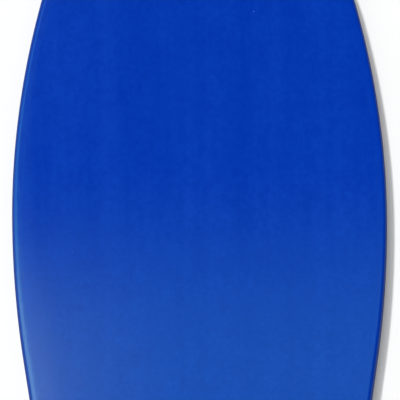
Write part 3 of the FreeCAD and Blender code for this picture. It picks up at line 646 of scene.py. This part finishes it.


# Pressed foam strip: the same blue, satin where the roller levelled it with the deck and duller and finely
# pebbled down its side, with shallow waves along it from being wrapped by hand. Its side is painted a
# darker navy than its top, as painted shade that deepens the more the surface faces sideways.
pressed_foam, tree, here = start_finish("pressed_foam_strip")
pebble = add(tree, "ShaderNodeTexNoise", {"Vector": here, "Scale": 1000 / STRIP_PEBBLE, "Detail": 2.0})
wave = add(tree, "ShaderNodeTexNoise", {"Vector": here, "Scale": 1000 / STRIP_WAVE, "Detail": 2.0})
top = add(tree, "ShaderNodeMix", {0: wave.outputs["Fac"], 6: linear(SKIN_BLUE), 7: linear(SKIN_LIGHT)},
          data_type="RGBA")
facing = add(tree, "ShaderNodeSeparateXYZ", {0: add(tree, "ShaderNodeTexCoord").outputs["Normal"]})
# Painted shade: the colour goes from the top's blue to the darker navy as the surface turns to face
# sideways.
over = add(tree, "ShaderNodeMapRange", {"Value": facing.outputs["Z"], "From Min": 0.72, "From Max": 0.985})
colour = add(tree, "ShaderNodeMix", {0: over.outputs["Result"], 6: linear(STRIP_SIDE_SHADE), 7: top.outputs[2]},
             data_type="RGBA")
gloss = add(tree, "ShaderNodeMapRange", {"Value": facing.outputs["Z"], "From Min": 0.5, "From Max": 0.94,
                                         "To Min": STRIP_GLOSS[0], "To Max": STRIP_GLOSS[1]})
waved = add(tree, "ShaderNodeBump", {"Height": wave.outputs["Fac"], "Strength": 0.5,
                                     "Distance": WAVE_RELIEF / 1000})
relief = add(tree, "ShaderNodeBump", {"Height": pebble.outputs["Fac"], "Strength": 0.3,
                                      "Distance": PEBBLE_RELIEF / 1000,
                                      "Normal": waved.outputs["Normal"]})
surface = add(tree, "ShaderNodeBsdfPrincipled", {"Base Color": colour.outputs[2], "IOR": 1.5,
                                                 "Specular Tint": linear(SKIN_SHEEN),
                                                 "Roughness": gloss.outputs["Result"],
                                                 "Normal": relief.outputs["Normal"]})
add(tree, "ShaderNodeOutputMaterial", {"Surface": surface.outputs["BSDF"]})

between = [((0, NOSE_JOINT, 0), (0, 1, 0)), ((0, TAIL_JOINT, 0), (0, -1, 0))]
for strip_name, corners in (("upper", UPPER_RAIL), ("lower", LOWER_RAIL)):
    strip = wrapped(corners, pressed_foam)
    for side, away in (("left", (1, 0, 0)), ("right", (-1, 0, 0))):
        rail = trimmed(f"{strip_name}_strip_{side}", strip, pressed_foam, between + [((0, 0, 0), away)])
        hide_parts(f"{strip_name}_rail_{side}")
strip = wrapped(BUMPER, pressed_foam)
nose_strip = trimmed("nose_strip", strip, pressed_foam, [((0, NOSE_JOINT, 0), (0, -1, 0))])
tail_strip = trimmed("tail_strip", strip, pressed_foam, [((0, TAIL_JOINT, 0), (0, 1, 0))])
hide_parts("nose_bumper")
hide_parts("tail_bumper")

# ---- Leash plug ----------------------------------------------------------------------
# Two moulded nylon halves screw together through a hole near the nose and clamp the board between
# their flanges. Six pockets in each flange take the spanner. The leash's cord goes through the bore.
BORE = next(mount for mount in frame["record"]["mounts"] if mount["name"] == "leash_hole")
HALF_LENGTH = BORE["dims"]["length_mm"] / 2
BORE_RADIUS = BORE["dims"]["r_mm"]
FLANGE_RADIUS = 20
FLANGE_THICKNESS = 2.6
BARREL_RADIUS = 11
SOCKET_RADIUS = 9.15
STEM_RADIUS = 9
BARREL_LENGTH = 37.9  # mm below its flange
MOUTH_ROUND = 0.9  # mm, so that the bore doesn't cut the cord
COLLAR_RADIUS = 8.2  # mm, a low collar round the mouth
COLLAR_FOOT = 8.6
COLLAR_HEIGHT = 0.35
FLANGE_SLOPE = 2.5  # mm in from the flange's rim, where its face starts to fall away
FLANGE_FALL = 0.9  # mm from the collar's top to the rim
PLUG_SPANS = 96
PLUG_CREASE = 35  # degrees
POCKET_COUNT = 6
POCKET_RING = 14.0  # mm from the middle to a pocket
POCKET_SIZE = (5.0, 3.2, 1.6)  # mm along the spoke, across it, and its cutter's height
POCKET_CORNER = 1.2
FIT_GAP = 0.15  # mm round a flange in its recess
CUTTER_PAST = 9  # mm that the hole's cutter stands past the plug's ends
CUT_WELD = 0.005  # mm between points that a cut leaves and that count as one


def turned(name, corners, finish):
    """A solid turned about its own middle from a section, as (radius, height, corner radius) in mm."""
    section = rounded(corners)
    mesh = bmesh.new()
    rings = []
    for span in range(PLUG_SPANS):
        angle = 2 * math.pi * span / PLUG_SPANS
        rings.append([mesh.verts.new(Vector((across * math.cos(angle), across * math.sin(angle), up)) / 1000)
                      for across, up in section])
    for here, there in zip(rings, rings[1:] + rings[:1]):
        for at in range(len(section)):
            after = (at + 1) % len(section)
            mesh.faces.new((here[at], here[after], there[after], there[at]))
    bmesh.ops.remove_doubles(mesh, verts=mesh.verts, dist=1e-7)
    bmesh.ops.recalc_face_normals(mesh, faces=mesh.faces)
    data = bpy.data.meshes.new(name)
    mesh.to_mesh(data)
    mesh.free()
    data.materials.append(finish)
    made = bpy.data.objects.new(name, data)
    bpy.context.scene.collection.objects.link(made)
    return made


# Repeated pockets stand in a ring, each turned to face the middle.
ring_tree, given = start_shape("pockets_in_a_ring", {"Pocket": "Geometry", "Count": "Int", "Radius": "Float",
                                                     "Height": "Float", "Finish": "Material"})
ring = add(ring_tree, "GeometryNodeMeshCircle", {"Vertices": given["Count"], "Radius": given["Radius"]})
number = add(ring_tree, "GeometryNodeInputIndex")
share = add(ring_tree, "ShaderNodeMath", {0: number.outputs["Index"], 1: given["Count"]},
            operation="DIVIDE")
angle = add(ring_tree, "ShaderNodeMath", {0: share.outputs["Value"], 1: 2 * math.pi}, operation="MULTIPLY")
spoke = add(ring_tree, "ShaderNodeCombineXYZ", {"Z": angle.outputs["Value"]})
placed = add(ring_tree, "GeometryNodeInstanceOnPoints", {"Points": ring.outputs["Mesh"],
                                                         "Instance": given["Pocket"],
                                                         "Rotation": spoke.outputs["Vector"]})
lift = add(ring_tree, "ShaderNodeCombineXYZ", {"Z": given["Height"]})
raised = add(ring_tree, "GeometryNodeTransform", {"Geometry": placed.outputs["Instances"],
                                                  "Translation": lift.outputs["Vector"]})
solid = add(ring_tree, "GeometryNodeRealizeInstances", {"Geometry": raised.outputs["Geometry"]})
painted = add(ring_tree, "GeometryNodeSetMaterial", {"Geometry": solid.outputs["Geometry"],
                                                     "Material": given["Finish"]})
add(ring_tree, "NodeGroupOutput", {"Shape": painted.outputs["Geometry"]})


def applied(made):
    """An object whose modifiers are worked into a plain mesh."""
    depsgraph = bpy.context.evaluated_depsgraph_get()
    data = bpy.data.meshes.new_from_object(made.evaluated_get(depsgraph), depsgraph=depsgraph)
    made.modifiers.clear()
    made.data = data
    return made


def pocket_ring(height):
    """The six pocket cutters at one height, as one object."""
    mesh = bmesh.new()
    bmesh.ops.create_cube(mesh, size=1 / 1000, matrix=Matrix.Diagonal((*POCKET_SIZE, 1)))
    upright = [edge for edge in mesh.edges if abs(edge.verts[0].co.z - edge.verts[1].co.z) > 1e-6]
    bmesh.ops.bevel(mesh, geom=upright, offset=POCKET_CORNER / 1000, segments=5, profile=0.5,
                    affect="EDGES")
    data = bpy.data.meshes.new("spanner_pocket")
    mesh.to_mesh(data)
    mesh.free()
    cutters = bpy.data.objects.new("spanner_pockets", data)
    bpy.context.scene.collection.objects.link(cutters)
    modifier = cutters.modifiers.new("ring", "NODES")
    modifier.node_group = ring_tree
    for name, value in (("Count", POCKET_COUNT), ("Radius", POCKET_RING / 1000),
                        ("Height", height / 1000), ("Finish", nylon)):
        modifier[ring_tree.interface.items_tree[name].identifier] = value
    return applied(cutters)


def cut_from(made, cutter):
    """Cut one closed solid out of another, and put the cutter away."""
    modifier = made.modifiers.new("cut", "BOOLEAN")
    modifier.operation = "DIFFERENCE"
    modifier.solver = "EXACT"
    modifier.object = cutter
    applied(made)
    bpy.data.objects.remove(cutter)
    mesh = bmesh.new()
    mesh.from_mesh(made.data)
    bmesh.ops.dissolve_degenerate(mesh, edges=mesh.edges, dist=CUT_WELD / 1000)
    mesh.to_mesh(made.data)
    mesh.free()
    return made


def stood(made):
    """Stand a turned piece on the plug's own middle and lean."""
    axis = Vector(BORE["axis"])
    lean = Vector((0, 0, 1)).rotation_difference(axis).to_matrix().to_4x4()
    made.data.transform(Matrix.Translation(Vector(BORE["pos_m"])) @ lean)
    made.data.polygons.foreach_set("use_smooth", [True] * len(made.data.polygons))
    made.data.set_sharp_from_angle(angle=math.radians(PLUG_CREASE))
    return made


def flange(way):
    """The outer corners of a flange, from the bore's mouth to its back, for the deck (1) or bottom (-1)."""
    top = HALF_LENGTH * way
    face = top - COLLAR_HEIGHT * way
    return ((BORE_RADIUS, top, MOUTH_ROUND), (COLLAR_RADIUS, top, 0.3), (COLLAR_FOOT, face, 0.2),
            (FLANGE_RADIUS - FLANGE_SLOPE, face, 2.0), (FLANGE_RADIUS, top - FLANGE_FALL * way, 0.5),
            (FLANGE_RADIUS, top - FLANGE_THICKNESS * way, 0))


socket_end = HALF_LENGTH - FLANGE_THICKNESS
deck_half = turned("leash_plug_upper", flange(1) + (
    (BARREL_RADIUS, socket_end, 0), (BARREL_RADIUS, socket_end - BARREL_LENGTH, 0.4),
    (SOCKET_RADIUS, socket_end - BARREL_LENGTH, 0.3), (SOCKET_RADIUS, socket_end, 0),
    (BORE_RADIUS, socket_end, 0)), nylon)
bottom_half = turned("leash_plug_lower", flange(-1) + (
    (STEM_RADIUS, -socket_end, 0), (STEM_RADIUS, socket_end, 0.4), (BORE_RADIUS, socket_end, 0.4)), nylon)
for made, way, node in ((deck_half, 1, "leash_plug_deck_half"), (bottom_half, -1, "leash_plug_bottom_half")):
    stood(cut_from(made, pocket_ring(way * HALF_LENGTH)))
    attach(made, "root")
    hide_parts(node)

# The same plug's hole, a shade wider, goes through the deck and the slick with a recess for each flange.
recess = [(0.0, HALF_LENGTH + CUTTER_PAST, 0), (FLANGE_RADIUS + FIT_GAP, HALF_LENGTH + CUTTER_PAST, 0),
          (FLANGE_RADIUS + FIT_GAP, socket_end, 0), (BARREL_RADIUS, socket_end, 0)]
recess += [(across, -up, 0) for across, up, _ in recess[::-1]]
for sheet, finish in ((deck_sheet, satin_skin), (slick_sheet, film_finish)):
    cut_from(sheet, stood(turned("plug_hole", recess, finish)))
    sheet.data.set_sharp_from_angle(angle=math.radians(CREASE))

# ---- Floor, light and camera ---------------------------------------------------------
# The board lies on a sheet of white paper. A lamp up and to the left past the nose throws a crisp
# shadow, and a broad glow from the same side softens it. The sheen shows the room: its ceiling, its
# left wall and a high window on the left near the tail.
PAPER_WHITE = "#FBFBFA"
PAPER_FIBRE = "#F9F9F8"
PAPER_CLOUD = 167  # mm across one patch of the paper's fibre
PAPER_REACH = 20  # metres each way
PAPER_DROP = 0.0004  # metres under the board
LAMP_SLOPE = (0.42, -0.42)  # metres across and back per metre that the light comes down
LAMP_SPREAD = 4.0  # degrees
LAMP_POWER = 2.2
GLOW_SLOPE = (0.28, -0.28)
GLOW_SPREAD = 14.0
GLOW_POWER = 0.7
LAMP_COLOUR = "#FDFEFE"
PLAIN_LIGHT = "#FFFFFF"  # what dull surfaces get from every part of the room
ROOM_COLOUR = "#A2FFDC"
WINDOW_COLOUR = "#FFE9DC"
CEILING_POWER = 1.1
SIDE_POWER = 2.0
WALL_POWER = 0.2
WINDOW_POWER = 3.35
BACKDROP_POWER = 0.8  # a white backdrop stands low behind the paper's far edge
DULL_SHARE = 0.061  # how much of the window and the left wall lights dull surfaces
PAPER_LIFT = 0.15  # the share of the paper that shows as plain white background
PAPER_BOUNCE = "#BCBCBA"  # what the paper throws back on the board
CAMERA_OVER = (0.0009, 0.0720)  # metres, the point of the deck under the lens
CAMERA_FIELD = 0.5945  # metres of deck from side to side
CAMERA_TURN = -0.5  # degrees
CAMERA_LENS = 100  # mm
CAMERA_SENSOR = 36
CAMERA_SIGHT = 50  # metres


def seen_share(tree):
    """1 for rays that see, straight, in a reflection or through glass, and 0 for rays that only light."""
    ray = add(tree, "ShaderNodeLightPath").outputs
    seen = add(tree, "ShaderNodeMath", {0: ray["Is Camera Ray"], 1: ray["Is Glossy Ray"]})
    return add(tree, "ShaderNodeMath", {0: seen.outputs["Value"], 1: ray["Is Transmission Ray"]},
               use_clamp=True).outputs["Value"]


# White paper: a dull sheet with a trace of fibre, which shows as a white background.
paper, tree, here = start_finish("white_paper")
fibre = add(tree, "ShaderNodeTexNoise", {"Vector": here, "Scale": 1000 / PAPER_CLOUD, "Detail": 3.0})
colour = add(tree, "ShaderNodeMix", {0: fibre.outputs["Fac"], 6: linear(PAPER_WHITE),
                                     7: linear(PAPER_FIBRE)}, data_type="RGBA")
seen = seen_share(tree)
shown = add(tree, "ShaderNodeMix", {0: seen, 6: linear(PAPER_BOUNCE), 7: colour.outputs[2]},
            data_type="RGBA")
surface = add(tree, "ShaderNodeBsdfDiffuse", {"Color": shown.outputs[2]})
shine = add(tree, "ShaderNodeEmission", {"Color": linear(PLAIN_LIGHT)})
lift = add(tree, "ShaderNodeMath", {0: seen, 1: PAPER_LIFT}, operation="MULTIPLY")
lifted = add(tree, "ShaderNodeMixShader", {0: lift.outputs["Value"], 1: surface.outputs["BSDF"],
                                           2: shine.outputs["Emission"]})
add(tree, "ShaderNodeOutputMaterial", {"Surface": lifted.outputs["Shader"]})
mesh = bmesh.new()
bmesh.ops.create_grid(mesh, x_segments=4, y_segments=4, size=PAPER_REACH)
bmesh.ops.translate(mesh, verts=mesh.verts, vec=(0, 0, -PAPER_DROP))
floor_data = bpy.data.meshes.new("floor")
mesh.to_mesh(floor_data)
mesh.free()
floor_data.materials.append(paper)
floor = bpy.data.objects.new("floor", floor_data)
bpy.context.scene.collection.objects.link(floor)

for lamp_name, slope, spread, power, glints in (("lamp", LAMP_SLOPE, LAMP_SPREAD, LAMP_POWER, True),
                                                ("lamp_glow", GLOW_SLOPE, GLOW_SPREAD, GLOW_POWER, False)):
    lamp_data = bpy.data.lights.new(lamp_name, "SUN")
    lamp_data.energy = power
    lamp_data.color = linear(LAMP_COLOUR)[:3]
    lamp_data.angle = math.radians(spread)
    lamp = bpy.data.objects.new(lamp_name, lamp_data)
    lamp.rotation_euler = Vector((*slope, -1)).to_track_quat("-Z", "Y").to_euler()
    lamp.visible_glossy = glints
    bpy.context.scene.collection.objects.link(lamp)

room = bpy.data.worlds.new("room")
bpy.context.scene.world = room
room.use_nodes = True
tree = room.node_tree
tree.nodes.clear()
look = add(tree, "ShaderNodeTexCoord").outputs["Generated"]
parts = add(tree, "ShaderNodeSeparateXYZ", {0: look})
across, along, up = (parts.outputs[axis] for axis in "XYZ")
seen = seen_share(tree)
glossy = add(tree, "ShaderNodeLightPath").outputs["Is Glossy Ray"]
# Each part of the room is a colour, a strength where it is seen, the share of that where it only
# lights dull surfaces, and its soft edges, as (direction, dark at, full at).
room_parts = (
    (ROOM_COLOUR, CEILING_POWER, 1.0, ((along, 0.04, -0.15), (up, 0.72, 0.90))),
    (ROOM_COLOUR, SIDE_POWER, DULL_SHARE, ((across, -0.20, -0.36), (up, 0.22, 0.42), (along, 0.32, 0.02))),
    (ROOM_COLOUR, WALL_POWER, 1.0, ((up, 0.85, 0.20),)),
    (WINDOW_COLOUR, WINDOW_POWER, DULL_SHARE, ((across, -0.02, -0.30), (up, 0.42, 0.60),
                                               (along, -0.01, -0.19), (along, -0.45, -0.30))),
    (PLAIN_LIGHT, BACKDROP_POWER, 0.0, ((up, 0.16, 0.12),)))
whole = add(tree, "ShaderNodeBackground", {"Strength": 0.0}).outputs["Background"]
for hue, power, dull_share, edges in room_parts:
    strength = add(tree, "ShaderNodeMapRange", {"Value": seen, "To Min": power * dull_share,
                                                "To Max": power}).outputs["Result"]
    for direction, dark, full in edges:
        edge = add(tree, "ShaderNodeMapRange", {"Value": direction, "From Min": dark, "From Max": full},
                   interpolation_type="SMOOTHSTEP")
        strength = add(tree, "ShaderNodeMath", {0: edge.outputs["Result"], 1: strength},
                       operation="MULTIPLY").outputs["Value"]
    tint = add(tree, "ShaderNodeMix", {0: glossy, 6: linear(PLAIN_LIGHT), 7: linear(hue)}, data_type="RGBA")
    glow = add(tree, "ShaderNodeBackground", {"Color": tint.outputs[2], "Strength": strength})
    whole = add(tree, "ShaderNodeAddShader", {0: whole, 1: glow.outputs["Background"]}).outputs["Shader"]
add(tree, "ShaderNodeOutputWorld", {"Surface": whole})

camera_data = bpy.data.cameras.new("camera")
camera_data.lens = CAMERA_LENS
camera_data.sensor_width = CAMERA_SENSOR
camera_data.clip_end = CAMERA_SIGHT
camera = bpy.data.objects.new("camera", camera_data)
camera.location = (*CAMERA_OVER, THICKNESS / 1000 + CAMERA_FIELD * CAMERA_LENS / CAMERA_SENSOR)
camera.rotation_euler = (0, 0, math.radians(CAMERA_TURN))
bpy.context.scene.collection.objects.link(camera)
bpy.context.scene.camera = camera
bpy.context.scene.view_settings.view_transform = "Standard"
